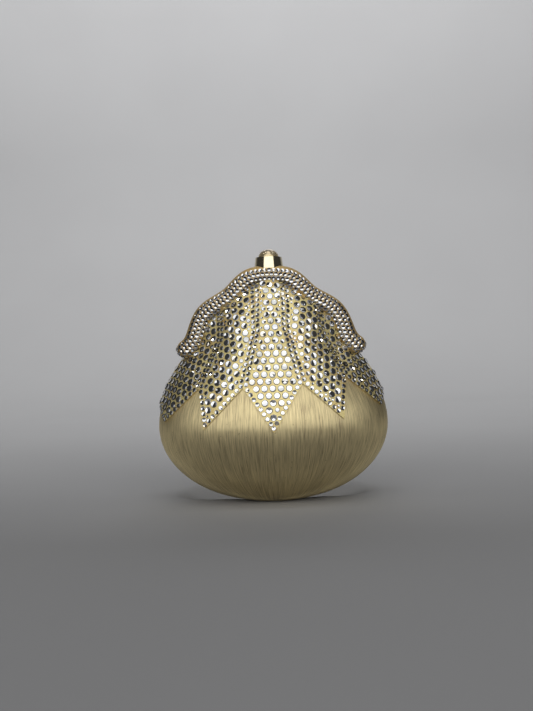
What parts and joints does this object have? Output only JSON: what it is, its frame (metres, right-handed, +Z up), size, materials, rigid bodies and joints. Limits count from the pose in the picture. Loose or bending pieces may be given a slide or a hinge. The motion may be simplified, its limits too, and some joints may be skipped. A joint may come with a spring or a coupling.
{
  "type": "minaudiere",
  "caption": "Hard-shell evening bag with crystal pave petals and a crystal frame, hinged along its base and closed by a push-button clasp at the crown.",
  "frame": {"origin": "middle of the base on the seam plane, at the height the bag rests on", "axes": "+Z up to the clasp, +X to the right seen from the front, the front faces -Y"},
  "size_m": [0.12, 0.068, 0.1308],
  "materials": {
    "brushed_brass": "vertically brushed, gold plated",
    "frame_brass": "gold plated, set with small stones",
    "polished_brass": "polished, gold plated",
    "pave": "foiled flat-back stones on a gold bed",
    "cabochon_glass": "polished, foiled",
    "lining_leather": "fine-grained metallic leather",
    "steel": "plain"
  },
  "bodies": {
    "front_half": {"front_shell": "brushed_brass", "front_frame": "frame_brass", "front_centre_petal": "pave", "front_left_petal": "pave", "front_right_petal": "pave", "front_far_left_petal": "pave", "front_far_right_petal": "pave", "front_rim_strips": "polished_brass", "front_lining": "lining_leather", "front_hinge_knuckles": "polished_brass", "hinge_pin": "steel", "clasp_collar": "polished_brass", "clasp_rivets": "polished_brass", "return_spring": "steel"},
    "back_half": {"back_shell": "brushed_brass", "back_frame": "frame_brass", "back_centre_petal": "pave", "back_left_petal": "pave", "back_right_petal": "pave", "back_far_left_petal": "pave", "back_far_right_petal": "pave", "back_rim_strips": "polished_brass", "back_lining": "lining_leather", "back_hinge_knuckles": "polished_brass", "striker_fork": "steel", "left_frame_stud": "polished_brass", "right_frame_stud": "polished_brass"},
    "button": {"push_button": "polished_brass", "cabochon": "cabochon_glass", "button_stem": "steel", "latch_bolt": "steel", "stem_nut": "steel"}
  },
  "joints": [
    {"name": "shell_opening", "type": "hinge", "parent": "front_half", "child": "back_half", "pos_m": [0, 0, 0.0018], "axis": [-1, 0, 0], "range_deg": [0, 65]},
    {"name": "button_press", "type": "slide", "parent": "front_half", "child": "button", "axis": [0, 0, -1], "range_m": [0, 0.002], "stiffness_N_per_m": 600, "springref_m": -0.002, "deforming": ["return_spring"]}
  ]
}
